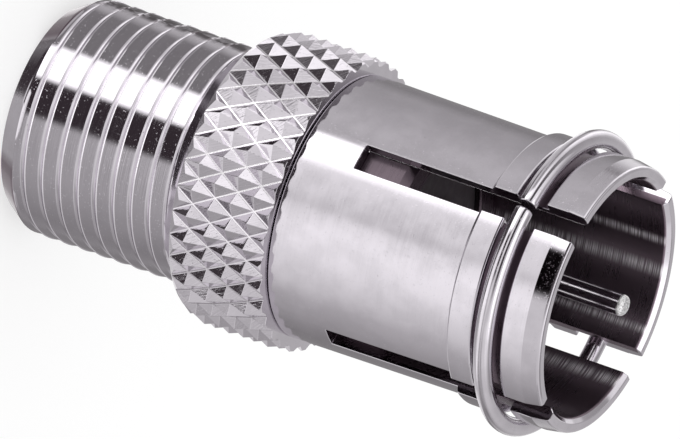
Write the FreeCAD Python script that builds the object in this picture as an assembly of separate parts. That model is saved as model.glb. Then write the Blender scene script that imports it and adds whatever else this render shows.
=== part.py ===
import FreeCAD, Part
import math
import os

# Adapter from a threaded coaxial jack to a push-on plug.
# It stands on the jack end. The turning axis is +Z, and the origin is the middle of the jack end face.
# All sizes are in millimetres and all angles in degrees.

# Threaded barrel of the jack, drawn at the major diameter of its fine thread
THREAD_RADIUS = 4.75
BARREL_LENGTH = 8.3
LEAD_IN_LENGTH = 0.85
LEAD_IN_DROP = 0.55
RELIEF_WIDTH = 0.45
RELIEF_DEPTH = 0.4

# Knurled grip collar
COLLAR_RADIUS = 5.93
COLLAR_LENGTH = 4.15
COLLAR_BACK_CHAMFER = 0.5
COLLAR_BACK_DROP = 0.36
COLLAR_FRONT_CHAMFER = 0.22
KNURL_COUNT = 35
KNURL_DEPTH = 0.34
KNURL_AXIAL_PITCH = 1.72
KNURL_PHASE = 5.2
KNURL_SHIFT = 0.045

# Spigot that carries the sleeve
SPIGOT_LENGTH = 4.4
SPIGOT_CHAMFER = 0.3
SPIGOT_CLEARANCE = 0.02

# Bore of the body and the lip that keeps the insulator in
BODY_BORE_RADIUS = 3.4
JACK_MOUTH_RADIUS = 2.75
JACK_LIP_THICKNESS = 0.8
JACK_MOUTH_CHAMFER = 0.3

# Slotted push-on sleeve
SLEEVE_LENGTH = 11.9
SLEEVE_SEAT_GAP = 0.02
SLEEVE_BORE_RADIUS = 4.72
SLEEVE_ROOT_RADIUS = 5.27
SLEEVE_TAPER = 0.09
SLEEVE_FOOT_CHAMFER = 0.06
BEAD_RADIUS = 5.43
BEAD_WIDTH = 1.15
BEAD_RAMP = 0.12
BEAD_EDGE = 0.1
GROOVE_WIDTH = 1.23
GROOVE_DEPTH = 0.43
LIP_RADIUS = 5.4
LIP_WIDTH = 1.67
LIP_LAND = 0.95
LIP_TAPER = 0.1
MOUTH_EDGE = 0.12
MOUTH_CHAMFER = 0.2
SLOT_COUNT = 4
SLOT_WIDTH = 1.08
SLOT_LENGTH = 9.53

# Split ring of round spring wire
WIRE_RADIUS = 0.37
WIRE_FLATS = 12
RING_COVER = 0.05
RING_SIDE_PLAY = 0.02
RING_SPLIT = 0.26

# Centre contact
PIN_RADIUS = 0.42
PIN_REACH = 0.8
PIN_TIP = 0.22
STEM_RADIUS = 0.65
STEM_PROUD = 0.3
SOCKET_RADIUS = 1.1
SOCKET_BORE_RADIUS = 0.55
SOCKET_BORE_DEPTH = 7.0
SOCKET_SLOT_WIDTH = 0.3
SOCKET_SLOT_DEPTH = 5.0
SOCKET_MOUTH_CHAMFER = 0.2
SOCKET_SETBACK = 1.0

# Insulators
INSULATOR_CLEARANCE = 0.02
CONTACT_CLEARANCE = 0.03
JACK_INSULATOR_LENGTH = 4.6
NOSE_SETBACK = 0.15
FUNNEL_RADIUS = 1.5
FUNNEL_DEPTH = 0.9
GUIDE_RADIUS = 0.8
TINE_ROOM = 0.25
PLUG_INSULATOR_LENGTH = 3.0
PLUG_INSULATOR_SETBACK = 0.25
PLUG_INSULATOR_CHAMFER = 0.2
PIN_BOSS_RADIUS = 1.6
PIN_BOSS_HEIGHT = 0.5

# Heights and radii that follow from the sizes above
COLLAR_TOP = BARREL_LENGTH + COLLAR_LENGTH
SPIGOT_RADIUS = SLEEVE_BORE_RADIUS - SPIGOT_CLEARANCE
SPIGOT_TOP = COLLAR_TOP + SPIGOT_LENGTH
SLEEVE_FOOT = COLLAR_TOP + SLEEVE_SEAT_GAP
SLEEVE_TOP = COLLAR_TOP + SLEEVE_LENGTH
GROOVE_TOP = SLEEVE_TOP - LIP_WIDTH
GROOVE_FOOT = GROOVE_TOP - GROOVE_WIDTH
BEAD_FOOT = GROOVE_FOOT - BEAD_WIDTH
RING_RADIUS = LIP_RADIUS - RING_COVER + WIRE_RADIUS
RING_HEIGHT = GROOVE_TOP - RING_SIDE_PLAY - WIRE_RADIUS
PIN_TOP = SLEEVE_TOP + PIN_REACH
PLUG_INSULATOR_TOP = SPIGOT_TOP - PLUG_INSULATOR_SETBACK
PLUG_INSULATOR_FOOT = PLUG_INSULATOR_TOP - PLUG_INSULATOR_LENGTH
STEM_TOP = PLUG_INSULATOR_TOP + PIN_BOSS_HEIGHT + STEM_PROUD
SOCKET_FOOT = NOSE_SETBACK + FUNNEL_DEPTH + SOCKET_SETBACK

AXIS = FreeCAD.Vector(0, 0, 1)
CENTRE = FreeCAD.Vector(0, 0, 0)


def turned(outline):
    """Solid turned about the axis from an outline of (radius, height) corners."""
    corners = [FreeCAD.Vector(radius, 0, height) for radius, height in outline]
    face = Part.Face(Part.makePolygon(corners + corners[:1]))
    return face.revolve(CENTRE, AXIS, 360)


def radial_slot(width, reach, foot, top, angle):
    """Block that cuts a slot from the axis outwards in the direction of the angle."""
    block = Part.makeBox(reach, width, top - foot, FreeCAD.Vector(0, -width / 2, foot))
    block.rotate(CENTRE, AXIS, angle)
    return block


def corner_ring(height, even_radius, odd_radius):
    """Corners round the collar at one height, with even and odd ones at their own radius."""
    corners = []
    for step in range(2 * KNURL_COUNT):
        radius = odd_radius if step % 2 else even_radius
        turn = math.radians(KNURL_PHASE + 180.0 * step / KNURL_COUNT)
        corners.append(FreeCAD.Vector(radius * math.cos(turn), radius * math.sin(turn), height))
    return corners


def flat_face(corners):
    return Part.Face(Part.makePolygon(corners + corners[:1]))


def faceted_bar(rings):
    """Solid between rings of corners, with flat triangles that fold along its inner diagonals."""
    faces = [flat_face(rings[0]), flat_face(rings[-1])]
    for low, high in zip(rings, rings[1:]):
        for step in range(len(low)):
            after = (step + 1) % len(low)
            rising = (low[step], high[after])
            falling = (low[after], high[step])
            fold, tips = (rising, falling)
            if math.hypot(*rising[0][:2]) > math.hypot(*falling[0][:2]):
                fold, tips = (falling, rising)
            faces += [flat_face([fold[0], fold[1], tip]) for tip in tips]
    shell = Part.makeShell(faces)
    shell.sewShape()
    bar = Part.makeSolid(shell)
    if bar.Volume < 0:
        bar.reverse()
    return bar


def knurled_bar():
    """Bar with raised four-sided points all round, a little longer than the collar at both ends."""
    row_height = KNURL_AXIAL_PITCH / 2
    row_count = math.ceil(COLLAR_LENGTH / row_height) + 2
    spare = (row_count * row_height - COLLAR_LENGTH) / 2
    groove_radius = COLLAR_RADIUS - KNURL_DEPTH
    rings = []
    for level in range(row_count + 1):
        height = BARREL_LENGTH - spare + KNURL_SHIFT + level * row_height
        if level % 2:
            rings.append(corner_ring(height, groove_radius, COLLAR_RADIUS))
        else:
            rings.append(corner_ring(height, COLLAR_RADIUS, groove_radius))
    return faceted_bar(rings)


def knurled_collar():
    """The knurled bar cut to the collar's length, with both of its ends chamfered."""
    spare = 0.5
    reach = COLLAR_RADIUS + spare
    back_radius = COLLAR_RADIUS - COLLAR_BACK_DROP
    back_slope = COLLAR_BACK_CHAMFER / COLLAR_BACK_DROP
    front_radius = COLLAR_RADIUS - COLLAR_FRONT_CHAMFER
    back_height = BARREL_LENGTH + (reach - back_radius) * back_slope
    front_height = COLLAR_TOP - (reach - front_radius)
    envelope = faceted_bar([
        corner_ring(BARREL_LENGTH, back_radius, back_radius),
        corner_ring(back_height, reach, reach),
        corner_ring(front_height, reach, reach),
        corner_ring(COLLAR_TOP, front_radius, front_radius),
    ])
    return knurled_bar().common(envelope)


def jack_body():
    """Barrel, knurled collar and spigot, turned in one piece and bored from the plug end."""
    relief_radius = THREAD_RADIUS - RELIEF_DEPTH
    relief_foot = BARREL_LENGTH - RELIEF_WIDTH
    inside_collar = COLLAR_LENGTH / 2
    barrel = turned([
        (0, 0),
        (THREAD_RADIUS - LEAD_IN_DROP, 0),
        (THREAD_RADIUS, LEAD_IN_LENGTH),
        (THREAD_RADIUS, relief_foot - RELIEF_DEPTH),
        (relief_radius, relief_foot),
        (relief_radius, BARREL_LENGTH + inside_collar),
        (0, BARREL_LENGTH + inside_collar),
    ])
    spigot = turned([
        (0, COLLAR_TOP - inside_collar),
        (SPIGOT_RADIUS, COLLAR_TOP - inside_collar),
        (SPIGOT_RADIUS, SPIGOT_TOP - SPIGOT_CHAMFER),
        (SPIGOT_RADIUS - SPIGOT_CHAMFER, SPIGOT_TOP),
        (0, SPIGOT_TOP),
    ])
    bore = turned([
        (0, 0),
        (JACK_MOUTH_RADIUS + JACK_MOUTH_CHAMFER, 0),
        (JACK_MOUTH_RADIUS, JACK_MOUTH_CHAMFER),
        (JACK_MOUTH_RADIUS, JACK_LIP_THICKNESS),
        (BODY_BORE_RADIUS, JACK_LIP_THICKNESS),
        (BODY_BORE_RADIUS, SPIGOT_TOP),
        (0, SPIGOT_TOP),
    ])
    return knurled_collar().fuse([barrel, spigot]).cut(bore)


def push_on_sleeve():
    """Sleeve pressed over the spigot, cut into spring fingers by slots that run out at the mouth."""
    step_radius = SLEEVE_ROOT_RADIUS - SLEEVE_TAPER
    groove_radius = BEAD_RADIUS - GROOVE_DEPTH
    lip_front = LIP_RADIUS - LIP_TAPER
    sleeve = turned([
        (SLEEVE_BORE_RADIUS, SLEEVE_FOOT),
        (SLEEVE_ROOT_RADIUS - SLEEVE_FOOT_CHAMFER, SLEEVE_FOOT),
        (SLEEVE_ROOT_RADIUS, SLEEVE_FOOT + SLEEVE_FOOT_CHAMFER),
        (step_radius, BEAD_FOOT),
        (BEAD_RADIUS, BEAD_FOOT + BEAD_RAMP),
        (BEAD_RADIUS, GROOVE_FOOT - BEAD_EDGE),
        (BEAD_RADIUS - BEAD_EDGE, GROOVE_FOOT),
        (groove_radius, GROOVE_FOOT),
        (groove_radius, GROOVE_TOP),
        (LIP_RADIUS, GROOVE_TOP),
        (LIP_RADIUS, GROOVE_TOP + LIP_LAND),
        (lip_front, SLEEVE_TOP - MOUTH_EDGE),
        (lip_front - MOUTH_EDGE, SLEEVE_TOP),
        (SLEEVE_BORE_RADIUS + MOUTH_CHAMFER, SLEEVE_TOP),
        (SLEEVE_BORE_RADIUS, SLEEVE_TOP - MOUTH_CHAMFER),
    ])
    slots = []
    for place in range(SLOT_COUNT):
        angle = 360.0 * place / SLOT_COUNT
        reach = max(BEAD_RADIUS, LIP_RADIUS, SLEEVE_ROOT_RADIUS) + WIRE_RADIUS
        slots.append(radial_slot(SLOT_WIDTH, reach, SLEEVE_TOP - SLOT_LENGTH, PIN_TOP, angle))
    return sleeve.cut(slots)


def spring_ring():
    """Wire ring round the fingers, held in the groove between bead and lip, split over one slot."""
    half_flat = math.pi / WIRE_FLATS
    corner_reach = WIRE_RADIUS / math.cos(half_flat)
    corners = []
    for side in range(WIRE_FLATS):
        turn = (2 * side + 1) * half_flat
        radius = RING_RADIUS + corner_reach * math.cos(turn)
        corners.append(FreeCAD.Vector(radius, 0, RING_HEIGHT + corner_reach * math.sin(turn)))
    half_split = math.degrees(math.asin(RING_SPLIT / 2 / RING_RADIUS))
    ring = flat_face(corners).revolve(CENTRE, AXIS, 360 - 2 * half_split)
    ring.rotate(CENTRE, AXIS, half_split)
    return ring


def centre_contact():
    """Pin and split socket turned in one piece, with the shoulder that the plug insulator rests on."""
    socket_bottom = SOCKET_FOOT + SOCKET_BORE_DEPTH
    contact = turned([
        (0, socket_bottom),
        (SOCKET_BORE_RADIUS, socket_bottom),
        (SOCKET_BORE_RADIUS, SOCKET_FOOT + SOCKET_MOUTH_CHAMFER),
        (SOCKET_BORE_RADIUS + SOCKET_MOUTH_CHAMFER, SOCKET_FOOT),
        (SOCKET_RADIUS - SOCKET_MOUTH_CHAMFER, SOCKET_FOOT),
        (SOCKET_RADIUS, SOCKET_FOOT + SOCKET_MOUTH_CHAMFER),
        (SOCKET_RADIUS, PLUG_INSULATOR_FOOT),
        (STEM_RADIUS, PLUG_INSULATOR_FOOT),
        (STEM_RADIUS, STEM_TOP),
        (PIN_RADIUS, STEM_TOP + STEM_RADIUS - PIN_RADIUS),
        (PIN_RADIUS, PIN_TOP - PIN_TIP),
        (PIN_RADIUS - PIN_TIP, PIN_TOP),
        (0, PIN_TOP),
    ])
    cuts = []
    for angle in (0, 180):
        slot_top = SOCKET_FOOT + SOCKET_SLOT_DEPTH
        cuts.append(radial_slot(SOCKET_SLOT_WIDTH, 2 * SOCKET_RADIUS, 0, slot_top, angle))
    return contact.cut(cuts)


def jack_insulator():
    """Bush behind the jack's lip, with a funnel that guides the cable's wire into the socket."""
    outer_radius = BODY_BORE_RADIUS - INSULATOR_CLEARANCE
    nose_radius = JACK_MOUTH_RADIUS - INSULATOR_CLEARANCE
    flange_foot = JACK_LIP_THICKNESS + INSULATOR_CLEARANCE
    guide_foot = NOSE_SETBACK + FUNNEL_DEPTH
    room_foot = SOCKET_FOOT - CONTACT_CLEARANCE
    tine_radius = SOCKET_RADIUS + TINE_ROOM
    grip_foot = SOCKET_FOOT + JACK_INSULATOR_LENGTH / 2
    top = flange_foot + JACK_INSULATOR_LENGTH
    return turned([
        (FUNNEL_RADIUS, NOSE_SETBACK),
        (nose_radius, NOSE_SETBACK),
        (nose_radius, flange_foot),
        (outer_radius, flange_foot),
        (outer_radius, top),
        (SOCKET_RADIUS + CONTACT_CLEARANCE, top),
        (SOCKET_RADIUS + CONTACT_CLEARANCE, grip_foot),
        (tine_radius, grip_foot),
        (tine_radius, room_foot),
        (GUIDE_RADIUS, room_foot),
        (GUIDE_RADIUS, guide_foot),
    ])


def plug_insulator():
    """Plug pressed into the mouth of the spigot, with a low boss round the pin."""
    outer_radius = BODY_BORE_RADIUS - INSULATOR_CLEARANCE
    hole_radius = STEM_RADIUS + CONTACT_CLEARANCE
    return turned([
        (hole_radius, PLUG_INSULATOR_FOOT),
        (outer_radius - PLUG_INSULATOR_CHAMFER, PLUG_INSULATOR_FOOT),
        (outer_radius, PLUG_INSULATOR_FOOT + PLUG_INSULATOR_CHAMFER),
        (outer_radius, PLUG_INSULATOR_TOP),
        (PIN_BOSS_RADIUS, PLUG_INSULATOR_TOP),
        (PIN_BOSS_RADIUS, PLUG_INSULATOR_TOP + PIN_BOSS_HEIGHT),
        (hole_radius, PLUG_INSULATOR_TOP + PIN_BOSS_HEIGHT),
    ])


PIECES = {
    "jack_body": jack_body,
    "push_on_sleeve": push_on_sleeve,
    "spring_ring": spring_ring,
    "centre_contact": centre_contact,
    "jack_insulator": jack_insulator,
    "plug_insulator": plug_insulator,
}

os.makedirs("parts", exist_ok=True)
for name, make in PIECES.items():
    shape = make()
    solids = shape.Solids
    print(name, "solids", len(solids), "valid", shape.isValid(), "volume", round(shape.Volume, 3))
    solids[0].exportStep(os.path.join("parts", name + ".step"))
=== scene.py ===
import math

import bpy
from mathutils import Matrix, Vector


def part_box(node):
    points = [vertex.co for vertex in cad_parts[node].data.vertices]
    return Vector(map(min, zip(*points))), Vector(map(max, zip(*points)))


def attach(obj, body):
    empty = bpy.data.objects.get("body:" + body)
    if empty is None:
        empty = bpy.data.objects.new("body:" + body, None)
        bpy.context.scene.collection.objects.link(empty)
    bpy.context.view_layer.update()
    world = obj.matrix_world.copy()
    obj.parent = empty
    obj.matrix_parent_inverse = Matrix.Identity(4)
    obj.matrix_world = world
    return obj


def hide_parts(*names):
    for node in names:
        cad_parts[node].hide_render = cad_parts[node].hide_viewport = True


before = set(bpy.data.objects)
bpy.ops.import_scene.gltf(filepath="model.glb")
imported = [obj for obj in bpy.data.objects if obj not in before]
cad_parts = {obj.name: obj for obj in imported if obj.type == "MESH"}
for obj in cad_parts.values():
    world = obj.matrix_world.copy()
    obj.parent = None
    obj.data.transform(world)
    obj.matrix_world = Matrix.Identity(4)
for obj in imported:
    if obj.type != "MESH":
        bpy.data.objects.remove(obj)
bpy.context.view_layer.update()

# The connector stands on its threaded end, with its turning axis on +Z.
# Sizes are in millimetres and become metres through MM. Angles are in degrees.
MM = 0.001
DEGREE = math.pi / 180

# Heights and the ring's reach, which the frame gives
BODY_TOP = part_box("jack_body")[1].z / MM
SLEEVE_FOOT, SLEEVE_TOP = (corner.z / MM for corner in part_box("push_on_sleeve"))
RING_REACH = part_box("spring_ring")[1].y / MM
CONTACT_FOOT, CONTACT_TOP = (corner.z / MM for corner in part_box("centre_contact"))
JACK_PLASTIC_FOOT, JACK_PLASTIC_TOP = (corner.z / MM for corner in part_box("jack_insulator"))
PLUG_PLASTIC_FOOT, PLUG_PLASTIC_TOP = (corner.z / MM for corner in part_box("plug_insulator"))

# Threaded barrel
THREAD_RADIUS = 4.75
THREAD_PITCH = 25.4 / 32
LAND_EDGE_HEIGHT = 2.87
BARREL_LENGTH = 8.3
LEAD_IN_RADIUS = 4.2
LEAD_IN_LENGTH = 0.85
RELIEF_RADIUS = 4.35
RELIEF_WIDTH = 0.45
MOUTH_RADIUS = 2.75
MOUTH_CHAMFER = 0.34
BORE_RADIUS = 3.4
BORE_CHAMFER = 0.06
LIP_THICKNESS = 0.8

# Knurled collar
COLLAR_RADIUS = 5.93
COLLAR_TOP = 12.45
KNURL_COUNT = 35
KNURL_DEPTH = 0.34
KNURL_PITCH = 1.72
KNURL_PHASE = 5.2
KNURL_FOOT = 7.41
KNURL_ROWS = 7
POINT_LEAN = 0.08
GROOVE_BREAK = 0.04
RIDGE_BREAK = 0.01
BACK_CHAMFER = 0.5
BACK_DROP = 0.36
FRONT_CHAMFER = 0.24
FRONT_DROP = 0.14
SPIGOT_RADIUS = 4.7
SPIGOT_CHAMFER = 0.3

# Push-on sleeve
SLEEVE_BORE = 4.72
SLEEVE_FUNNEL = 0.2
SLEEVE_FOOT_EDGE = 0.04
SLEEVE_ROOT = 5.27
SLEEVE_WAIST = 5.18
BEAD_RADIUS = 5.43
GROOVE_RADIUS = 5.0
LIP_RADIUS = 5.4
LIP_FRONT = 5.3
LIP_WIDTH = 1.67
LIP_LAND = 0.95
LIP_BACK_EDGE = 0.04
LIP_FRONT_EDGE = 0.12
LIP_FRONT_CORNER = 0.035
GROOVE_WIDTH = 1.23
BEAD_WIDTH = 1.15
BEAD_RAMP = 0.16
BEAD_EDGE = 0.1
BEAD_CORNER = 0.03
SLOT_WIDTH = 1.08
SLOT_LENGTH = 9.53
SLOT_ANGLES = (0, 90, 180, 270)

# Spring ring and centre contact
WIRE_RADIUS = 0.37
RING_SPLIT = 0.26
RING_SETBACK = 0.16
RING_SIDES = 28
PIN_RADIUS = 0.42
PIN_SHOULDER = 0.18
TIP_ROUND = 0.22
TIP_STEPS = 6
STEM_RADIUS = 0.65
STEM_TOP = 17.4
STEM_CHAMFER = 0.05
SOCKET_RADIUS = 1.1
SOCKET_BORE = 0.55
SOCKET_DEPTH = 7.0
SOCKET_CHAMFER = 0.2
TINE_SLOT = 0.3
TINE_LENGTH = 5.0

# Insulators
PLASTIC_RADIUS = 3.38
PLASTIC_PLAY = 0.02
CONTACT_PLAY = 0.03
FUNNEL_RADIUS = 1.5
FUNNEL_DEPTH = 0.9
GUIDE_RADIUS = 0.8
TINE_ROOM = 0.25
TINE_ROOM_TOP = 4.35
PLUG_CHAMFER = 0.2
BOSS_RADIUS = 1.6
BOSS_HEIGHT = 0.5

# The photograph's view: the turning axis leans towards the camera and lies slanted in the picture
VIEW_AZIMUTH = 23.6
VIEW_TILT = 24.0
PICTURE_TURN = 19.08
PICTURE_WIDTH = 680
PIXELS_PER_MM = 26.2
AIM_HEIGHT = 12.744
AIM_SIDE = 0.42
CAMERA_DISTANCE = 600.0
SENSOR = 36.0

# Steps of a full turn
STEPS = 144
RING_STEPS = 180
PLASTIC_STEPS = 96
CONTACT_STEPS = 64

# Reach within which corners are one
MERGE_REACH = 0.0005


def select_none():
    if bpy.context.mode != "OBJECT":
        bpy.ops.object.mode_set(mode="OBJECT")
    bpy.ops.object.select_all(action="DESELECT")


def take(piece):
    """Makes a piece the only selected and active one."""
    select_none()
    piece.select_set(True)
    bpy.context.view_layer.objects.active = piece


def modify(piece, kind, **settings):
    """Adds a modifier with these settings and applies it."""
    take(piece)
    modifier = piece.modifiers.new(kind.lower(), kind)
    for name, value in settings.items():
        setattr(modifier, name, value)
    bpy.ops.object.modifier_apply(modifier=modifier.name)


def tidy_mesh(piece):
    """Merges doubled corners, closes holes and turns every face outwards."""
    take(piece)
    bpy.ops.object.mode_set(mode="EDIT")
    bpy.ops.mesh.select_all(action="SELECT")
    bpy.ops.mesh.remove_doubles(threshold=MERGE_REACH * MM)
    bpy.ops.mesh.dissolve_degenerate(threshold=MERGE_REACH * MM)
    bpy.ops.mesh.select_all(action="SELECT")
    bpy.ops.mesh.fill_holes(sides=0)
    bpy.ops.mesh.normals_make_consistent(inside=False)
    bpy.ops.object.mode_set(mode="OBJECT")


def smooth(piece, degrees=25, weighted=True):
    """Smooth shading up to an angle, led by the large faces so that edges stay crisp."""
    take(piece)
    bpy.ops.object.shade_smooth_by_angle(angle=math.radians(degrees))
    if weighted:
        # weighed at a thousand times their size, since in metres the faces' areas are too small
        piece.data.transform(Matrix.Scale(1 / MM, 4))
        modify(piece, "WEIGHTED_NORMAL", keep_sharp=True, weight=80)
        piece.data.transform(Matrix.Scale(MM, 4))


def break_edges(piece, width, segments=2, degrees=30):
    """Bevels the edges that are sharper than an angle."""
    modify(piece, "BEVEL", width=width * MM, segments=segments, limit_method="ANGLE",
           angle_limit=math.radians(degrees), use_clamp_overlap=True)


def outline_piece(name, outline):
    """Line through (radius, height) corners, drawn out corner by corner from the first one."""
    select_none()
    bpy.ops.mesh.primitive_plane_add(size=MM, location=(0, 0, 0))
    piece = bpy.context.object
    piece.name = name
    bpy.ops.object.mode_set(mode="EDIT")
    bpy.ops.mesh.select_all(action="SELECT")
    bpy.ops.mesh.merge(type="CENTER")
    bpy.ops.transform.translate(value=(outline[0][0] * MM, 0, outline[0][1] * MM))
    for start, end in zip(outline, outline[1:]):
        step = ((end[0] - start[0]) * MM, 0, (end[1] - start[1]) * MM)
        bpy.ops.mesh.extrude_region_move(TRANSFORM_OT_translate={"value": step})
    bpy.ops.object.mode_set(mode="OBJECT")
    return piece


def turned(name, outline, steps=STEPS, sweep=360):
    """Piece turned about the axis from a closed outline of (radius, height) corners."""
    piece = outline_piece(name, list(outline) + [outline[0]])
    modify(piece, "SCREW", axis="Z", angle=math.radians(sweep), steps=steps, render_steps=steps,
           use_merge_vertices=True, merge_threshold=MERGE_REACH * MM)
    tidy_mesh(piece)
    return piece


def block(size, place, angle):
    """Cutter block of a size, its middle at a place, turned about the axis."""
    select_none()
    bpy.ops.mesh.primitive_cube_add(size=1)
    piece = bpy.context.object
    spin = Matrix.Rotation(math.radians(angle), 4, "Z")
    scale = Matrix.Diagonal((*[side * MM for side in size], 1))
    piece.data.transform(spin @ Matrix.Translation([v * MM for v in place]) @ scale)
    return piece


def combine(piece, other, operation):
    """Boolean of two pieces; the other piece is used up."""
    modify(piece, "BOOLEAN", object=other, operation=operation, solver="EXACT")
    bpy.data.objects.remove(other)


def wrap_grid(name, columns, rows, place):
    """Grid whose corners are all placed by a function of their column and row."""
    select_none()
    bpy.ops.mesh.primitive_grid_add(x_subdivisions=columns, y_subdivisions=rows, size=2)
    piece = bpy.context.object
    piece.name = name
    for corner in piece.data.vertices:
        column = round((corner.co.x + 1) / 2 * columns)
        row = round((corner.co.y + 1) / 2 * rows)
        corner.co = Vector(place(column, row)) * MM
    tidy_mesh(piece)
    return piece


def barrel_envelope(height):
    """Largest radius that the barrel's lead-in, thread and relief allow at a height."""
    relief_foot = BARREL_LENGTH - RELIEF_WIDTH
    if height < LEAD_IN_LENGTH:
        share = max(height, 0) / LEAD_IN_LENGTH
        return LEAD_IN_RADIUS + (THREAD_RADIUS - LEAD_IN_RADIUS) * share
    if height > relief_foot:
        return RELIEF_RADIUS
    return min(THREAD_RADIUS, RELIEF_RADIUS + relief_foot - height)


# One pitch of the thread from the foot of a land, as (height, depth below the major radius): a fine
# raised burr, a broad land that falls a little and rounds off towards the plug end, and a groove
THREAD_PROFILE = (
    (0.0, 0.0), (0.014, 0.0), (0.04, 0.024), (0.14, 0.0345), (0.24, 0.045), (0.34, 0.0555),
    (0.44, 0.066), (0.54, 0.0765), (0.59, 0.0865), (0.63, 0.099), (0.66, 0.11), (0.685, 0.152),
    (0.695, 0.16), (0.712, 0.158), (0.735, 0.11), (0.76, 0.055), (0.783, 0.008))


def threaded_barrel():
    """Barrel with a right-hand thread that runs out in its lead-in and in its relief."""
    rows_per_turn = len(THREAD_PROFILE)
    turns = math.ceil(BARREL_LENGTH / THREAD_PITCH) + 3
    # a land's foot is at its given height where the photograph faces it
    start = LAND_EDGE_HEIGHT - THREAD_PITCH * VIEW_AZIMUTH / 360
    start -= math.ceil(start / THREAD_PITCH + 1) * THREAD_PITCH

    def place(column, row):
        turn = column / STEPS
        height, depth = THREAD_PROFILE[row % rows_per_turn]
        height += start + (turn + row // rows_per_turn) * THREAD_PITCH
        held = min(max(height, 0), BARREL_LENGTH + 0.3)
        radius = min(THREAD_RADIUS - depth, barrel_envelope(held))
        angle = math.tau * turn
        return radius * math.cos(angle), radius * math.sin(angle), held

    return wrap_grid("threaded_barrel", STEPS, turns * rows_per_turn, place)


def knurled_collar():
    """Bar with raised four-sided points all round, its folds softened, cut to the collar's ends."""
    row_height = KNURL_PITCH / 2
    lean = math.atan2(math.pi * COLLAR_RADIUS / KNURL_COUNT, row_height)

    def place(column, row):
        angle = math.radians(KNURL_PHASE) + math.pi * column / KNURL_COUNT
        height = KNURL_FOOT + row * row_height
        if (column + row) % 2:
            radius = COLLAR_RADIUS - KNURL_DEPTH
        else:
            radius = COLLAR_RADIUS
            angle -= POINT_LEAN * math.cos(lean) / COLLAR_RADIUS
            if 0 < row < KNURL_ROWS:
                height -= POINT_LEAN * math.sin(lean)
        return radius * math.cos(angle), radius * math.sin(angle), height

    bar = wrap_grid("knurled_collar", 2 * KNURL_COUNT, KNURL_ROWS, place)
    bpy.ops.object.mode_set(mode="EDIT")
    bpy.ops.mesh.select_all(action="SELECT")
    bpy.ops.mesh.quads_convert_to_tris(quad_method="SHORTEST_DIAGONAL", ngon_method="BEAUTY")
    bpy.ops.object.mode_set(mode="OBJECT")
    widen_grooves(bar)
    break_edges(bar, RIDGE_BREAK, segments=1, degrees=15)
    spare = 0.5
    reach = COLLAR_RADIUS + spare
    back, front = COLLAR_RADIUS - BACK_DROP, COLLAR_RADIUS - FRONT_DROP
    envelope = turned("envelope", [
        (0, BARREL_LENGTH), (back, BARREL_LENGTH),
        (reach, BARREL_LENGTH + (reach - back) * BACK_CHAMFER / BACK_DROP),
        (reach, COLLAR_TOP - (reach - front) * FRONT_CHAMFER / FRONT_DROP), (front, COLLAR_TOP),
        (0, COLLAR_TOP)])
    combine(bar, envelope, "INTERSECT")
    return bar


def widen_grooves(bar):
    """Gives the V-shaped grooves between the points a narrow flat floor."""
    deep = (COLLAR_RADIUS - KNURL_DEPTH + 0.01) * MM
    take(bar)
    bpy.ops.object.mode_set(mode="EDIT")
    bpy.ops.mesh.select_mode(type="EDGE")
    bpy.ops.mesh.select_all(action="DESELECT")
    bpy.ops.object.mode_set(mode="OBJECT")
    corners = bar.data.vertices
    for edge in bar.data.edges:
        ends = [corners[corner].co for corner in edge.vertices]
        slanted = abs(ends[0].z - ends[1].z) > 0.1 * MM
        edge.select = slanted and all(end.xy.length < deep for end in ends)
    bpy.ops.object.mode_set(mode="EDIT")
    bpy.ops.mesh.bevel(offset=GROOVE_BREAK * MM, segments=1, affect="EDGES")
    bpy.ops.mesh.select_mode(type="VERT")
    bpy.ops.object.mode_set(mode="OBJECT")


def jack_body():
    """Barrel, collar and spigot as one turned piece, bored through."""
    body = threaded_barrel()
    combine(body, knurled_collar(), "UNION")
    spigot = turned("spigot", [
        (0, COLLAR_TOP - 1), (SPIGOT_RADIUS, COLLAR_TOP - 1),
        (SPIGOT_RADIUS, BODY_TOP - SPIGOT_CHAMFER), (SPIGOT_RADIUS - SPIGOT_CHAMFER, BODY_TOP),
        (0, BODY_TOP)])
    combine(body, spigot, "UNION")
    mouth = MOUTH_RADIUS + MOUTH_CHAMFER
    bore = turned("bore", [
        (0, -1), (mouth, -1), (mouth, 0), (mouth - 0.04, 0.03),
        (MOUTH_RADIUS + 0.04, MOUTH_CHAMFER - 0.07), (MOUTH_RADIUS, MOUTH_CHAMFER),
        (MOUTH_RADIUS, LIP_THICKNESS), (BORE_RADIUS, LIP_THICKNESS),
        (BORE_RADIUS, BODY_TOP - BORE_CHAMFER), (BORE_RADIUS + BORE_CHAMFER, BODY_TOP),
        (BORE_RADIUS + BORE_CHAMFER, BODY_TOP + 1), (0, BODY_TOP + 1)])
    combine(body, bore, "DIFFERENCE")
    body.name = "threaded_knurled_body"
    tidy_mesh(body)
    smooth(body, 22)
    return body


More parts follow.
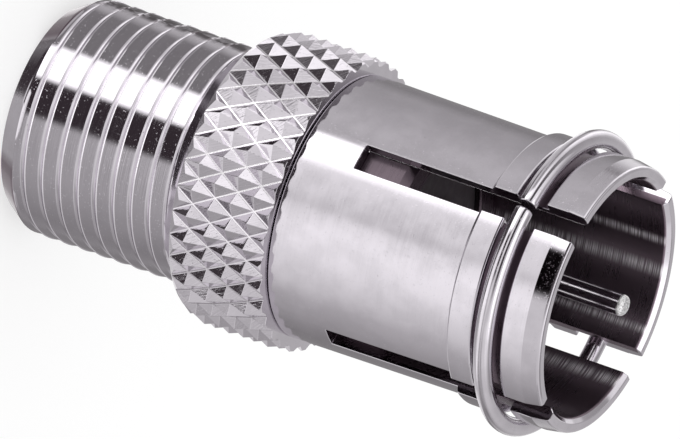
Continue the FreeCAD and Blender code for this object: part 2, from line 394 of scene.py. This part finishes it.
def slotted_sleeve():
    """Sleeve with its bead, ring groove and lip, cut into four pairs of spring fingers."""
    groove_top = SLEEVE_TOP - LIP_WIDTH
    groove_foot = groove_top - GROOVE_WIDTH
    bead_foot = groove_foot - BEAD_WIDTH
    sleeve = turned("slotted_sleeve", [
        (SLEEVE_BORE, SLEEVE_FOOT), (SLEEVE_ROOT - SLEEVE_FOOT_EDGE, SLEEVE_FOOT),
        (SLEEVE_ROOT, SLEEVE_FOOT + SLEEVE_FOOT_EDGE), (SLEEVE_WAIST, bead_foot),
        (BEAD_RADIUS - BEAD_CORNER, bead_foot + BEAD_EDGE), (BEAD_RADIUS, bead_foot + BEAD_RAMP),
        (BEAD_RADIUS, groove_foot - BEAD_EDGE),
        (BEAD_RADIUS - BEAD_CORNER, groove_foot - BEAD_CORNER),
        (BEAD_RADIUS - BEAD_EDGE, groove_foot), (GROOVE_RADIUS, groove_foot),
        (GROOVE_RADIUS, groove_top), (LIP_RADIUS - LIP_BACK_EDGE, groove_top),
        (LIP_RADIUS, groove_top + LIP_BACK_EDGE), (LIP_RADIUS, groove_top + LIP_LAND),
        (LIP_FRONT, SLEEVE_TOP - LIP_FRONT_EDGE),
        (LIP_FRONT - LIP_FRONT_CORNER, SLEEVE_TOP - LIP_FRONT_CORNER),
        (LIP_FRONT - LIP_FRONT_EDGE, SLEEVE_TOP), (SLEEVE_BORE + SLEEVE_FUNNEL, SLEEVE_TOP),
        (SLEEVE_BORE, SLEEVE_TOP - SLEEVE_FUNNEL)])
    foot = SLEEVE_TOP - SLOT_LENGTH
    for angle in SLOT_ANGLES:
        length = SLOT_LENGTH + 1
        slot = block((8, SLOT_WIDTH, length), (4, 0, foot + length / 2), angle)
        combine(sleeve, slot, "DIFFERENCE")
    break_edges(sleeve, 0.04)
    tidy_mesh(sleeve)
    smooth(sleeve, 8)
    return sleeve


def split_ring():
    """Round wire ring with a narrow split, its cut ends just rounded."""
    height = SLEEVE_TOP - LIP_WIDTH - RING_SETBACK - WIRE_RADIUS
    radius = RING_REACH - WIRE_RADIUS
    section = []
    for side in range(RING_SIDES):
        turn = math.tau * side / RING_SIDES
        section.append((radius + WIRE_RADIUS * math.cos(turn),
                        height + WIRE_RADIUS * math.sin(turn)))
    half_split = math.degrees(RING_SPLIT / 2 / radius)
    ring = turned("split_spring_wire", section, RING_STEPS, 360 - 2 * half_split)
    ring.data.transform(Matrix.Rotation(math.radians(half_split), 4, "Z"))
    break_edges(ring, 0.07, segments=3, degrees=60)
    smooth(ring, 30, weighted=False)
    return ring


def contact():
    """Centre pin and split socket turned in one piece, with a rounded tip."""
    socket_bottom = CONTACT_FOOT + SOCKET_DEPTH
    socket_foot = CONTACT_FOOT + SOCKET_CHAMFER
    # just below the washer, so that the two faces don't lie in each other
    shoulder = PLUG_PLASTIC_FOOT - 0.001
    tip = []
    for step in range(TIP_STEPS + 1):
        turn = math.radians(90 / TIP_STEPS * step)
        tip.append((PIN_RADIUS - TIP_ROUND + TIP_ROUND * math.cos(turn),
                    CONTACT_TOP - TIP_ROUND + TIP_ROUND * math.sin(turn)))
    piece = turned("pin_and_socket", [
        (0, socket_bottom + SOCKET_CHAMFER), (SOCKET_BORE, socket_bottom),
        (SOCKET_BORE, socket_foot), (SOCKET_BORE + SOCKET_CHAMFER, CONTACT_FOOT),
        (SOCKET_RADIUS - SOCKET_CHAMFER, CONTACT_FOOT), (SOCKET_RADIUS, socket_foot),
        (SOCKET_RADIUS, shoulder), (STEM_RADIUS, shoulder), (STEM_RADIUS, STEM_TOP - STEM_CHAMFER),
        (STEM_RADIUS - STEM_CHAMFER, STEM_TOP), (PIN_RADIUS, STEM_TOP + PIN_SHOULDER),
        *tip, (0, CONTACT_TOP)], CONTACT_STEPS)
    length = TINE_LENGTH + 1
    slot = block((4, TINE_SLOT, length), (0, 0, CONTACT_FOOT - 1 + length / 2), 0)
    combine(piece, slot, "DIFFERENCE")
    break_edges(piece, 0.02)
    tidy_mesh(piece)
    smooth(piece, 25)
    return piece


def jack_bush():
    """Insulator behind the jack's lip, with its funnel and the socket's room."""
    nose = MOUTH_RADIUS - PLASTIC_PLAY
    flange_foot = LIP_THICKNESS + PLASTIC_PLAY
    grip = SOCKET_RADIUS + CONTACT_PLAY
    room = SOCKET_RADIUS + TINE_ROOM
    room_foot = CONTACT_FOOT - CONTACT_PLAY
    piece = turned("jack_bush", [
        (FUNNEL_RADIUS, JACK_PLASTIC_FOOT), (nose, JACK_PLASTIC_FOOT), (nose, flange_foot),
        (PLASTIC_RADIUS, flange_foot), (PLASTIC_RADIUS, JACK_PLASTIC_TOP), (grip, JACK_PLASTIC_TOP),
        (grip, TINE_ROOM_TOP), (room, TINE_ROOM_TOP), (room, room_foot), (GUIDE_RADIUS, room_foot),
        (GUIDE_RADIUS, JACK_PLASTIC_FOOT + FUNNEL_DEPTH)], PLASTIC_STEPS)
    break_edges(piece, 0.04)
    smooth(piece, 25)
    return piece


def plug_bush():
    """Insulator in the mouth of the spigot, with a low boss round the pin."""
    top = PLUG_PLASTIC_TOP - BOSS_HEIGHT
    hole = STEM_RADIUS + CONTACT_PLAY
    piece = turned("plug_bush", [
        (hole, PLUG_PLASTIC_FOOT), (PLASTIC_RADIUS - PLUG_CHAMFER, PLUG_PLASTIC_FOOT),
        (PLASTIC_RADIUS, PLUG_PLASTIC_FOOT + PLUG_CHAMFER), (PLASTIC_RADIUS, top),
        (BOSS_RADIUS, top), (BOSS_RADIUS, PLUG_PLASTIC_TOP), (hole, PLUG_PLASTIC_TOP)],
        PLASTIC_STEPS)
    break_edges(piece, 0.05)
    smooth(piece, 25)
    return piece


class Nodes:
    """Short way to add nodes to a material's or the world's tree and to link them."""

    def __init__(self, tree):
        self.tree = tree
        tree.nodes.clear()

    def add(self, kind, *inputs, **settings):
        """Adds a node; each input is a value, a socket to link or None to leave it."""
        node = self.tree.nodes.new(kind)
        named = settings.pop("named", {})
        for name, value in settings.items():
            setattr(node, name, value)
        pairs = list(enumerate(inputs)) + list(named.items())
        for key, value in pairs:
            if isinstance(value, bpy.types.NodeSocket):
                self.tree.links.new(value, node.inputs[key])
            elif value is not None:
                node.inputs[key].default_value = value
        return node

    def maths(self, operation, *inputs):
        return self.add("ShaderNodeMath", *inputs, operation=operation).outputs[0]

    def ramp(self, value, stops):
        """Colour ramp over (place, grey) stops."""
        node = self.add("ShaderNodeValToRGB", value)
        elements = node.color_ramp.elements
        while len(elements) > 1:
            elements.remove(elements[-1])
        elements[0].position = stops[0][0]
        elements[0].color = tone(stops[0][1])
        for place, grey in stops[1:]:
            elements.new(place).color = tone(grey)
        return node.outputs[0]

    def span(self, value, low, high, to_low=0.0, to_high=1.0, kind="SMOOTHSTEP"):
        """Value that goes from to_low to to_high while another goes from low to high."""
        node = self.add("ShaderNodeMapRange", interpolation_type=kind,
                        named={"Value": value, "From Min": low, "From Max": high,
                               "To Min": to_low, "To Max": to_high})
        return node.outputs[0]

    def mix(self, share, first, second):
        """Colour that goes from the first to the second with a share."""
        node = self.add("ShaderNodeMix", data_type="RGBA",
                        named={0: share, 6: first, 7: second})
        return node.outputs[2]


def tone(grey):
    """Colour with its alpha, from a grey or from three channels."""
    return (*grey, 1) if isinstance(grey, tuple) else (grey, grey, grey, 1)


def new_material(name):
    material = bpy.data.materials.new(name)
    material.use_nodes = True
    return material, Nodes(material.node_tree)


# Colours of the plating, of painted highlights and of the two plastics
NICKEL = (0.66, 0.63, 0.672)
PAINTED_HIGHLIGHT = (1.0, 0.98, 1.0)
MILKY = (0.78, 0.77, 0.72)
DARK = (0.04, 0.034, 0.038)

# Share of its colour that the duller plating keeps, and the height of its small dents
DULLER = 0.93
DENT_HEIGHT = 0.0016

# Steps of the lathe's marks per metre across the axis, so few that the marks run round it
LATHE_STEPS = 260.0

# Rolling marks on the knurl: their slant in degrees, width, length and depth
ROLLING_SLANT = 30
ROLLING_WIDTH = 0.06
ROLLING_LENGTH = 0.7
ROLLING_DEPTH = 0.005

# Radius outside which the collar has these marks; inside it the end faces stay plain
MARKS_FROM = 5.4

# Bearings, in degrees, at which the painted blotchy shade on the thread and the painted dark
# reflection on the lip start, are full, fade and end
BLOTCHY_SHADE_BEARINGS = (-66, -58, -50, -43)
DARK_REFLECTION_BEARINGS = (9, 13, 27, 34)

# The same for the stretches of painted shade on the lead-in, each with its colour
PAINTED_SHADE_STRETCHES = (
    (-100, -80, -14, -4, (0.12, 0.085, 0.105)),
    (52, 60, 120, 140, (0.2, 0.16, 0.185)))

# Bearings inside the sleeve's bore where painted highlights stand for its lathe marks catching the
# light, and their half widths
BORE_GLINTS = ((-119.5, 3.5), (-135, 4.5), (-163.7, 3), (167, 5))


class Plating:
    """Plated brass in layers of base colour, sheen (its roughness) and relief.

    It starts with the lathe's fine marks around the axis and a slightly uneven sheen."""

    def __init__(self, name, roughness, mark_size, mark_depth):
        self.material, self.nodes = new_material(name)
        nodes = self.nodes
        self.place = nodes.add("ShaderNodeTexCoord").outputs["Object"]
        self.x, self.y, self.z = nodes.add("ShaderNodeSeparateXYZ", self.place).outputs
        flat = nodes.add("ShaderNodeCombineXYZ", self.x, self.y, 0.0).outputs[0]
        self.radius = nodes.add("ShaderNodeVectorMath", flat, operation="LENGTH").outputs["Value"]
        self.bearing = nodes.maths("ARCTAN2", self.y, self.x)
        around = nodes.add("ShaderNodeVectorMath", flat, (LATHE_STEPS, LATHE_STEPS, 0.0),
                           operation="MULTIPLY").outputs[0]
        along = nodes.maths("ADD", self.radius, self.z)
        along = nodes.maths("MULTIPLY", along, 1 / (mark_size * MM))
        self.lines = nodes.add("ShaderNodeVectorMath", around,
                               nodes.add("ShaderNodeCombineXYZ", 0.0, 0.0, along).outputs[0],
                               operation="ADD").outputs[0]
        marks = self.noise(1.0, 3.0, self.lines, Roughness=0.6)
        blotch = self.noise(900.0, 3.0)
        self.sheen = nodes.maths("ADD", nodes.span(marks, 0.3, 0.7, -0.03, 0.03),
                                 nodes.span(blotch, 0.3, 0.7, roughness - 0.03, roughness + 0.03))
        dull = tuple(channel * DULLER for channel in NICKEL)
        self.base = nodes.mix(nodes.span(blotch, 0.35, 0.65), tone(NICKEL), tone(dull))
        self.relief = nodes.maths("MULTIPLY", marks, mark_depth * MM)

    def noise(self, scale, detail, vector=None, **settings):
        vector = self.place if vector is None else vector
        return self.nodes.add("ShaderNodeTexNoise", named={
            "Vector": vector, "Scale": scale, "Detail": detail, **settings}).outputs[0]

    def shared(self, first, *others):
        """Product of several shares."""
        for other in others:
            first = self.nodes.maths("MULTIPLY", first, other)
        return first

    def falling(self, value, fading, end, unit=MM, kind="SMOOTHSTEP"):
        return self.nodes.span(value, fading * unit, end * unit, 1.0, 0.0, kind)

    def within(self, value, start, full, fading, end, unit=MM):
        """Share that is whole between full and fading and nothing before start and after end."""
        return self.shared(self.nodes.span(value, start * unit, full * unit),
                           self.falling(value, fading, end, unit))

    # each of the next three changes one layer, by a share and by how much or to what colour
    def cover(self, share, colour):
        self.base = self.nodes.mix(share, self.base, tone(colour))

    def roughen(self, share, amount):
        self.sheen = self.nodes.maths("ADD", self.sheen,
                                      self.nodes.maths("MULTIPLY", share, amount))

    def lift(self, share, height):
        self.relief = self.nodes.maths("ADD", self.relief,
                                       self.nodes.maths("MULTIPLY", share, height * MM))

    def shade_recess(self, share, colour):
        """Painted shade in a recess: a dark colour over rougher metal, whose relief comes out
        stronger.
        """
        self.cover(share, colour)
        self.roughen(share, 0.2)
        self.relief = self.shared(self.relief, self.nodes.maths("MULTIPLY_ADD", share, 4.0, 1.0))

    def finish(self):
        """Adds the small dents and links the layers to the shader."""
        nodes = self.nodes
        dents = nodes.span(self.noise(13000.0, 1.0), 0.7, 0.76, 0.0, DENT_HEIGHT * MM)
        self.relief = nodes.maths("ADD", self.relief, dents)
        bump = nodes.add("ShaderNodeBump", named={
            "Strength": 1.0, "Distance": 1.0, "Height": self.relief}).outputs[0]
        shader = nodes.add("ShaderNodeBsdfPrincipled", named={
            "Base Color": self.base, "Metallic": 1.0, "Roughness": self.sheen, "Normal": bump})
        nodes.add("ShaderNodeOutputMaterial", shader.outputs[0])
        return self.material


def mark_and_highlight_knurl(metal):
    """Slanted rolling marks on the points, and painted highlights on the floors of the grooves
    between them.
    """
    nodes = metal.nodes
    slant = math.radians(ROLLING_SLANT)
    tangent = nodes.maths("MULTIPLY", metal.bearing, COLLAR_RADIUS * MM)
    across = nodes.maths(
        "ADD", nodes.maths("MULTIPLY", metal.z, math.sin(slant) / (ROLLING_WIDTH * MM)),
        nodes.maths("MULTIPLY", tangent, math.cos(slant) / (ROLLING_WIDTH * MM)))
    down = nodes.maths(
        "SUBTRACT", nodes.maths("MULTIPLY", metal.z, math.cos(slant) / (ROLLING_LENGTH * MM)),
        nodes.maths("MULTIPLY", tangent, math.sin(slant) / (ROLLING_LENGTH * MM)))
    rolled = nodes.add("ShaderNodeCombineXYZ", across, down, 0.0).outputs[0]
    marks = metal.noise(1.0, 2.0, rolled, Roughness=0.6)
    on_knurl = metal.shared(
        metal.within(metal.z, BARREL_LENGTH, BARREL_LENGTH + 0.02, COLLAR_TOP - 0.02, COLLAR_TOP),
        nodes.span(metal.radius, MARKS_FROM * MM, (MARKS_FROM + 0.05) * MM))
    metal.lift(metal.shared(marks, on_knurl), ROLLING_DEPTH)

    # painted highlights on the floors of the two families of grooves, counted across each; the
    # first fades out over bearings
    foot = KNURL_FOOT / KNURL_PITCH
    turns = nodes.maths("MULTIPLY", metal.bearing, KNURL_COUNT / math.tau)
    rows = nodes.maths("MULTIPLY", metal.z, 1 / (KNURL_PITCH * MM))
    fade = metal.falling(metal.bearing, 25, 48, DEGREE)
    floor_highlights = []
    for operation, rise, width, bright in (
            ("ADD", foot, 0.05, fade), ("SUBTRACT", -foot, 0.036, 0.6)):
        start = KNURL_PHASE / 360 * KNURL_COUNT + rise
        count = nodes.maths("SUBTRACT", nodes.maths(operation, turns, rows), start)
        middle = nodes.maths("SUBTRACT", nodes.maths("FRACT", count), 0.5)
        floor = metal.falling(nodes.maths("ABSOLUTE", middle), width - 0.02, width, 1)
        floor_highlights.append(metal.shared(floor, bright))
    floor_highlights = metal.shared(nodes.maths("MAXIMUM", *floor_highlights),
                          nodes.span(marks, 0.25, 0.55, 0.35, 1.0), on_knurl)
    metal.cover(floor_highlights, PAINTED_HIGHLIGHT)
    metal.roughen(floor_highlights, 0.2)


def body_plating():
    """Marked on the knurl with painted highlights in its grooves, painted blotchy shade on one side
    of the thread, painted shade on parts of the lead-in and where the sleeve hides the spigot.
    """
    metal = Plating("body_plating", 0.075, 0.05, 0.0008)
    mark_and_highlight_knurl(metal)
    # painted blotchy shade near the top of the thread, on one side only
    blotchy_shade = metal.shared(
        metal.nodes.span(metal.noise(1500.0, 3.0), 0.42, 0.56),
        metal.falling(metal.z, BARREL_LENGTH - 0.5, BARREL_LENGTH),
        metal.within(metal.bearing, *BLOTCHY_SHADE_BEARINGS, DEGREE))
    metal.cover(blotchy_shade, (0.07, 0.05, 0.062))
    # painted shade on stretches of the lead-in
    lead_in = metal.falling(metal.z, LEAD_IN_LENGTH - 0.06, LEAD_IN_LENGTH - 0.03)
    for *bearings, colour in PAINTED_SHADE_STRETCHES:
        stretch = metal.within(metal.bearing, *bearings, DEGREE)
        metal.cover(metal.shared(stretch, lead_in), colour)
    # painted shade on the spigot, where the sleeve hides it
    shade_in_sleeve = metal.nodes.span(metal.z, (COLLAR_TOP + 0.08) * MM, (COLLAR_TOP + 0.12) * MM)
    metal.shade_recess(shade_in_sleeve, (0.095, 0.075, 0.088))
    return metal.finish()


def sleeve_plating():
    """Painted shade over stronger scoring in the bore and the ring's groove, a raised burred edge
    painted bright as a highlight, a painted dark reflection on the lip and painted highlights in
    the bore.
    """
    metal = Plating("sleeve_plating", 0.1, 0.06, 0.0004)
    nodes = metal.nodes
    # cut edge of the upper fingers, which is left out of the painted shade and has a raised burr
    # along the bore, painted bright as a highlight
    wall = -SLOT_WIDTH / 2
    edge = metal.shared(metal.within(metal.y, wall - 0.06, wall - 0.03, wall + 0.03, wall + 0.06),
                        nodes.span(metal.x, 0.0, 0.1 * MM))
    unshaded_edge = metal.shared(edge, nodes.span(metal.radius, (SLEEVE_BORE + 0.02) * MM,
                                           (SLEEVE_BORE + 0.04) * MM))
    # painted shade in the bore, the ring's groove and the deep part of the slots
    inside = metal.shared(
        metal.falling(metal.radius, GROOVE_RADIUS + 0.02, GROOVE_RADIUS + 0.06),
        metal.falling(metal.z, SLEEVE_TOP - 0.17, SLEEVE_TOP - 0.14),
        nodes.maths("SUBTRACT", 1.0, unshaded_edge))
    burr_and_highlight = metal.shared(edge, metal.falling(metal.radius, SLEEVE_BORE + 0.02, SLEEVE_BORE + 0.1,
                                            kind="LINEAR"))
    metal.lift(burr_and_highlight, 0.05)
    metal.shade_recess(inside, (0.2, 0.155, 0.185))

    front = SLEEVE_TOP - LIP_WIDTH + LIP_LAND
    # painted dark reflection, blotchy, on the lip's front at some bearings
    painted_dark_reflection = metal.shared(
        nodes.span(metal.noise(9000.0, 2.0), 0.36, 0.42),
        metal.within(metal.z, front - 0.02, front + 0.03, SLEEVE_TOP - 0.16, SLEEVE_TOP - 0.1),
        metal.within(metal.bearing, *DARK_REFLECTION_BEARINGS, DEGREE),
        nodes.span(metal.radius, (LIP_RADIUS - 0.2) * MM, (LIP_RADIUS - 0.15) * MM))
    metal.cover(painted_dark_reflection, (0.035, 0.03, 0.034))
    # the burr's bright colour is a painted highlight
    metal.cover(nodes.span(burr_and_highlight, 0.05, 0.3), PAINTED_HIGHLIGHT)

    # painted highlights in the bore at fixed bearings, broken up by the lathe marks
    glint = 0.0
    for angle, width in BORE_GLINTS:
        away = nodes.maths("ABSOLUTE", nodes.maths("SUBTRACT", metal.bearing, angle * DEGREE))
        glint = nodes.maths("MAXIMUM", glint, metal.falling(away, 0.0, width, DEGREE))
    scores = nodes.span(metal.noise(1.5, 3.0, metal.lines), 0.35, 0.62, 0.1, 1.0)
    glint = metal.shared(glint, inside, scores)
    metal.cover(glint, (1.0, 0.97, 1.0))
    metal.roughen(glint, 0.3)
    return metal.finish()


def contact_plating():
    """Polished pin and socket with a matt, gritty tip."""
    metal = Plating("contact_plating", 0.14, 0.05, 0.001)
    nodes = metal.nodes
    tip = nodes.span(metal.z, (CONTACT_TOP - 0.28) * MM, (CONTACT_TOP - 0.22) * MM)
    grit = metal.noise(14000.0, 2.0)
    metal.base = nodes.mix(tip, metal.base, nodes.ramp(grit, ((0.35, 0.45), (0.6, 0.97))))
    metal.roughen(tip, 0.35)
    metal.lift(metal.shared(grit, tip), 0.01)
    return metal.finish()


def plastic(name, colour):
    """Turned or moulded insulator plastic, slightly translucent, with a faint grain."""
    material, nodes = new_material(name)
    place = nodes.add("ShaderNodeTexCoord").outputs["Object"]
    grain = nodes.add("ShaderNodeTexNoise", named={
        "Vector": place, "Scale": 2500.0, "Detail": 3.0}).outputs[0]
    cloud = nodes.add("ShaderNodeTexNoise", named={"Vector": place, "Scale": 350.0}).outputs[0]
    shade = tuple(channel * 0.86 for channel in colour)
    base = nodes.mix(nodes.span(cloud, 0.35, 0.65), tone(colour), tone(shade))
    bump = nodes.add("ShaderNodeBump", named={
        "Strength": 1.0, "Distance": 0.01 * MM, "Height": grain}).outputs[0]
    shader = nodes.add("ShaderNodeBsdfPrincipled", named={
        "Base Color": base, "Roughness": nodes.span(grain, 0.3, 0.7, 0.35, 0.5), "Normal": bump,
        "Subsurface Weight": 0.2, "Subsurface Radius": (0.6 * MM, 0.5 * MM, 0.4 * MM)})
    nodes.add("ShaderNodeOutputMaterial", shader.outputs[0])
    return material


def dress(piece, material, slot, *nodes):
    """Gives a finished piece its material, hangs it on the root body and hides the frame's parts
    that it stands for.
    """
    piece.data.materials.clear()
    piece.data.materials.append(material)
    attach(piece, "root")
    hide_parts(*nodes)


dress(jack_body(), body_plating(), "body_plating", "jack_body")
dress(slotted_sleeve(), sleeve_plating(), "sleeve_plating", "push_on_sleeve")
dress(split_ring(), Plating("spring_wire", 0.14, 0.2, 0.0008).finish(),
      "spring_wire", "spring_ring")
dress(contact(), contact_plating(), "contact_plating", "centre_contact")
dress(jack_bush(), plastic("jack_plastic", MILKY), "jack_plastic", "jack_insulator")
dress(plug_bush(), plastic("plug_plastic", DARK), "plug_plastic", "plug_insulator")


def make_floor():
    """White to the camera, with the connector's soft shadow kept on it."""
    select_none()
    bpy.ops.mesh.primitive_circle_add(vertices=96, radius=2.0, fill_type="NGON", location=(0, 0, 0))
    floor = bpy.context.object
    floor.name = "floor"
    floor.location.z = -0.01 * MM
    material, nodes = new_material("white_floor")
    bare = nodes.add("ShaderNodeBsdfDiffuse", (0.4, 0.4, 0.4, 1)).outputs[0]
    glow = nodes.add("ShaderNodeEmission", (1, 1, 1, 1), 0.62).outputs[0]
    both = nodes.add("ShaderNodeAddShader", bare, glow).outputs[0]
    nodes.add("ShaderNodeOutputMaterial", both)
    floor.data.materials.append(material)
    material.cycles.emission_sampling = "NONE"
    floor.visible_glossy = False


def studio_world():
    """White to the camera, even light for matt surfaces, and soft boxes and flags for the metal."""
    world = bpy.data.worlds.new("studio")
    bpy.context.scene.world = world
    world.use_nodes = True
    nodes = Nodes(world.node_tree)
    way = nodes.add("ShaderNodeTexCoord").outputs["Generated"]
    turned_way = nodes.add("ShaderNodeVectorRotate", rotation_type="Z_AXIS", named={
        "Vector": way, "Angle": math.radians(-VIEW_AZIMUTH)}).outputs[0]
    parts = nodes.add("ShaderNodeSeparateXYZ", turned_way).outputs
    bearing = nodes.maths("ARCTAN2", parts[1], parts[0])
    share = nodes.maths("MULTIPLY_ADD", bearing, 1 / math.tau, 0.5)
    rise = parts[2]

    def bands(*stops):
        """Strengths over the bearing from the camera's side, in degrees."""
        return nodes.ramp(share, [((angle + 180) / 360, grey / 3) for angle, grey in stops])

    nadir = bands((-180, 0.25), (-128, 0.25), (-114, 0.03), (-80, 0.06), (-52, 0.09), (-44, 0.05),
                  (-8, 0.05), (8, 0.05), (40, 0.05), (50, 0.14), (58, 0.4), (66, 0.55),
                  (180, 0.4))
    low = bands((-180, 0.7), (-110, 0.72), (-92, 0.64), (-80, 0.52), (-68, 0.2), (-60, 0.06),
                (-20, 0.05), (-12, 0.16), (-4, 0.9), (8, 1.1), (26, 1.52), (44, 1.4), (55, 1.3),
                (65, 0.62), (180, 0.6))
    knee = bands((-180, 0.8), (-120, 0.72), (-108, 0.75), (-101, 0.6), (-93, 0.12), (-30, 0.06),
                 (-18, 0.3), (-8, 1.1), (20, 1.4), (54, 1.36), (66, 1.1), (78, 0.95), (89, 0.78),
                 (100, 0.58), (119, 0.7), (180, 0.8))
    table = bands((-180, 1.3), (-158, 1.27), (-146, 1.0), (-134, 0.8), (-120, 0.68), (-90, 0.6),
                  (-60, 0.9), (-54, 2.4), (-30, 2.4), (-24, 1.4), (90, 1.2), (112, 0.68),
                  (124, 0.75), (142, 0.94), (180, 0.9))
    wall = bands((-180, 0.26), (-148, 0.28), (-130, 0.44), (-112, 0.49), (-100, 0.56), (-90, 0.6),
                 (-72, 0.66), (-60, 0.6), (-54, 2.4), (-32, 2.4), (-27, 1.1), (-5, 1.0),
                 (4, 0.88), (12, 1.15), (24, 1.27), (45, 1.18), (62, 0.96), (76, 0.8), (90, 0.58),
                 (109, 0.45), (121, 0.36), (140, 0.27), (170, 0.25), (180, 0.28))
    side = bands((-180, 0.7), (-150, 0.95), (-140, 0.9), (-124, 0.5), (-115, 0.25), (-60, 0.24),
                 (-54, 2.2), (-27, 2.2), (-21, 0.04), (8, 0.04), (15, 0.42), (60, 0.46),
                 (116, 0.3), (128, 0.32), (143, 0.5), (160, 0.7), (180, 0.7))
    eave = bands((-180, 0.9), (-152, 1.35), (-134, 1.6), (-124, 0.62), (-60, 0.62), (-54, 2.2),
                 (-27, 2.2), (-21, 0.03), (9, 0.03), (14, 0.75), (50, 0.8), (76, 0.7), (90, 0.55),
                 (109, 0.42), (121, 0.28), (132, 0.32), (143, 0.45), (159, 0.72), (180, 0.76))
    skirt = bands((-180, 0.9), (-150, 1.4), (-134, 1.65), (-106, 1.4), (-96, 0.95), (-84, 0.65),
                  (-60, 0.65), (-54, 2.2), (-27, 2.0), (-22, 0.03), (9, 0.03), (14, 0.8),
                  (50, 0.85), (76, 0.65), (93, 0.5), (112, 0.4), (121, 0.27), (132, 0.33),
                  (180, 0.7))
    horizon = bands((-180, 0.7), (-130, 1.3), (-106, 1.22), (-97, 1.0), (-86, 0.95), (-74, 1.48),
                    (-54, 1.5), (-40, 1.2), (-32, 0.8), (-24, 0.7), (-13, 0.93), (0, 1.06),
                    (26, 0.99), (45, 0.8), (54, 0.63), (73, 0.45), (93, 0.5), (180, 0.6))
    brow = bands((-180, 0.6), (-90, 0.95), (-70, 1.21), (-51, 1.36), (-39, 1.08), (-30, 1.09),
                 (-20, 1.22), (-11, 1.18), (-1, 0.95), (19, 0.84), (40, 0.72), (54, 0.8),
                 (180, 0.6))
    above = bands((-180, 0.6), (-150, 0.5), (-110, 0.4), (-88, 0.22), (-60, 0.1), (-36, 0.05),
                  (11, 0.05), (20, 0.35), (32, 0.75), (52, 0.95), (100, 0.8), (150, 0.65),
                  (180, 0.6))
    upper = bands((-180, 0.3), (-150, 0.5), (-110, 1.0), (-60, 1.3), (-30, 0.9), (0, 0.85),
                  (30, 1.0), (60, 1.2), (110, 0.9), (150, 0.4), (180, 0.25))
    overhead = bands((-180, 0.3), (-130, 0.5), (-90, 1.4), (-60, 1.9), (60, 1.9), (90, 1.4),
                     (130, 0.5), (180, 0.3))
    foot = bands((-180, 0.4), (-130, 0.3), (-116, 0.04), (-72, 0.04), (-55, 0.8), (50, 0.9),
                 (80, 0.55), (180, 0.45))
    # each band takes over from the one below it over a short rise
    colour = foot
    for low_rise, high_rise, band in (
            (-0.98, -0.965, nadir), (-0.872, -0.855, low), (-0.805, -0.785, knee),
            (-0.68, -0.64, table), (-0.5, -0.46, wall), (-0.36, -0.32, side),
            (-0.23, -0.21, eave), (-0.14, -0.12, skirt), (-0.03, 0.01, horizon),
            (0.14, 0.17, brow), (0.27, 0.33, above), (0.62, 0.66, upper),
            (0.82, 0.86, overhead)):
        colour = nodes.mix(nodes.span(rise, low_rise, high_rise), colour, band)
    colour = nodes.mix(nodes.span(rise, 0.975, 0.99), colour, tone(1.4 / 3))
    # a trace of magenta, which shows in the darkest reflections
    colour = nodes.add("ShaderNodeMix", data_type="RGBA", blend_type="ADD",
                       named={0: 1.0, 6: colour, 7: (0.0034, 0.0, 0.0019, 1)}).outputs[2]
    metal = nodes.add("ShaderNodeBackground", colour, 3.0).outputs[0]
    plain = nodes.add("ShaderNodeBackground", (1, 1, 1, 1), 1.0).outputs[0]
    rays = nodes.add("ShaderNodeLightPath").outputs
    both = nodes.add("ShaderNodeMixShader", rays["Is Glossy Ray"], plain, metal).outputs[0]
    nodes.add("ShaderNodeOutputWorld", both)
    world.cycles.sampling_method = "NONE"


def make_camera():
    azimuth, tilt = math.radians(VIEW_AZIMUTH), math.radians(VIEW_TILT)
    towards = Vector((math.cos(azimuth) * math.cos(tilt), math.sin(azimuth) * math.cos(tilt),
                      math.sin(tilt)))
    side = Vector((-math.sin(azimuth), math.cos(azimuth), 0))
    along = side.cross(towards) * -1
    if along.z < 0:
        along = -along
    turn = math.radians(PICTURE_TURN)
    right = math.cos(turn) * along - math.sin(turn) * side
    up = -(math.sin(turn) * along + math.cos(turn) * side)
    aim = Vector((0, 0, AIM_HEIGHT)) + side * AIM_SIDE
    data = bpy.data.cameras.new("camera")
    data.sensor_width = SENSOR
    data.lens = SENSOR * CAMERA_DISTANCE / (PICTURE_WIDTH / PIXELS_PER_MM)
    data.clip_start = 0.05
    data.clip_end = 10
    camera = bpy.data.objects.new("camera", data)
    bpy.context.scene.collection.objects.link(camera)
    pose = Matrix((right, up, towards)).transposed().to_4x4()
    pose.translation = (aim + towards * CAMERA_DISTANCE) * MM
    camera.matrix_world = pose
    bpy.context.scene.camera = camera


make_floor()
studio_world()
make_camera()
bpy.context.scene.view_settings.view_transform = "Standard"
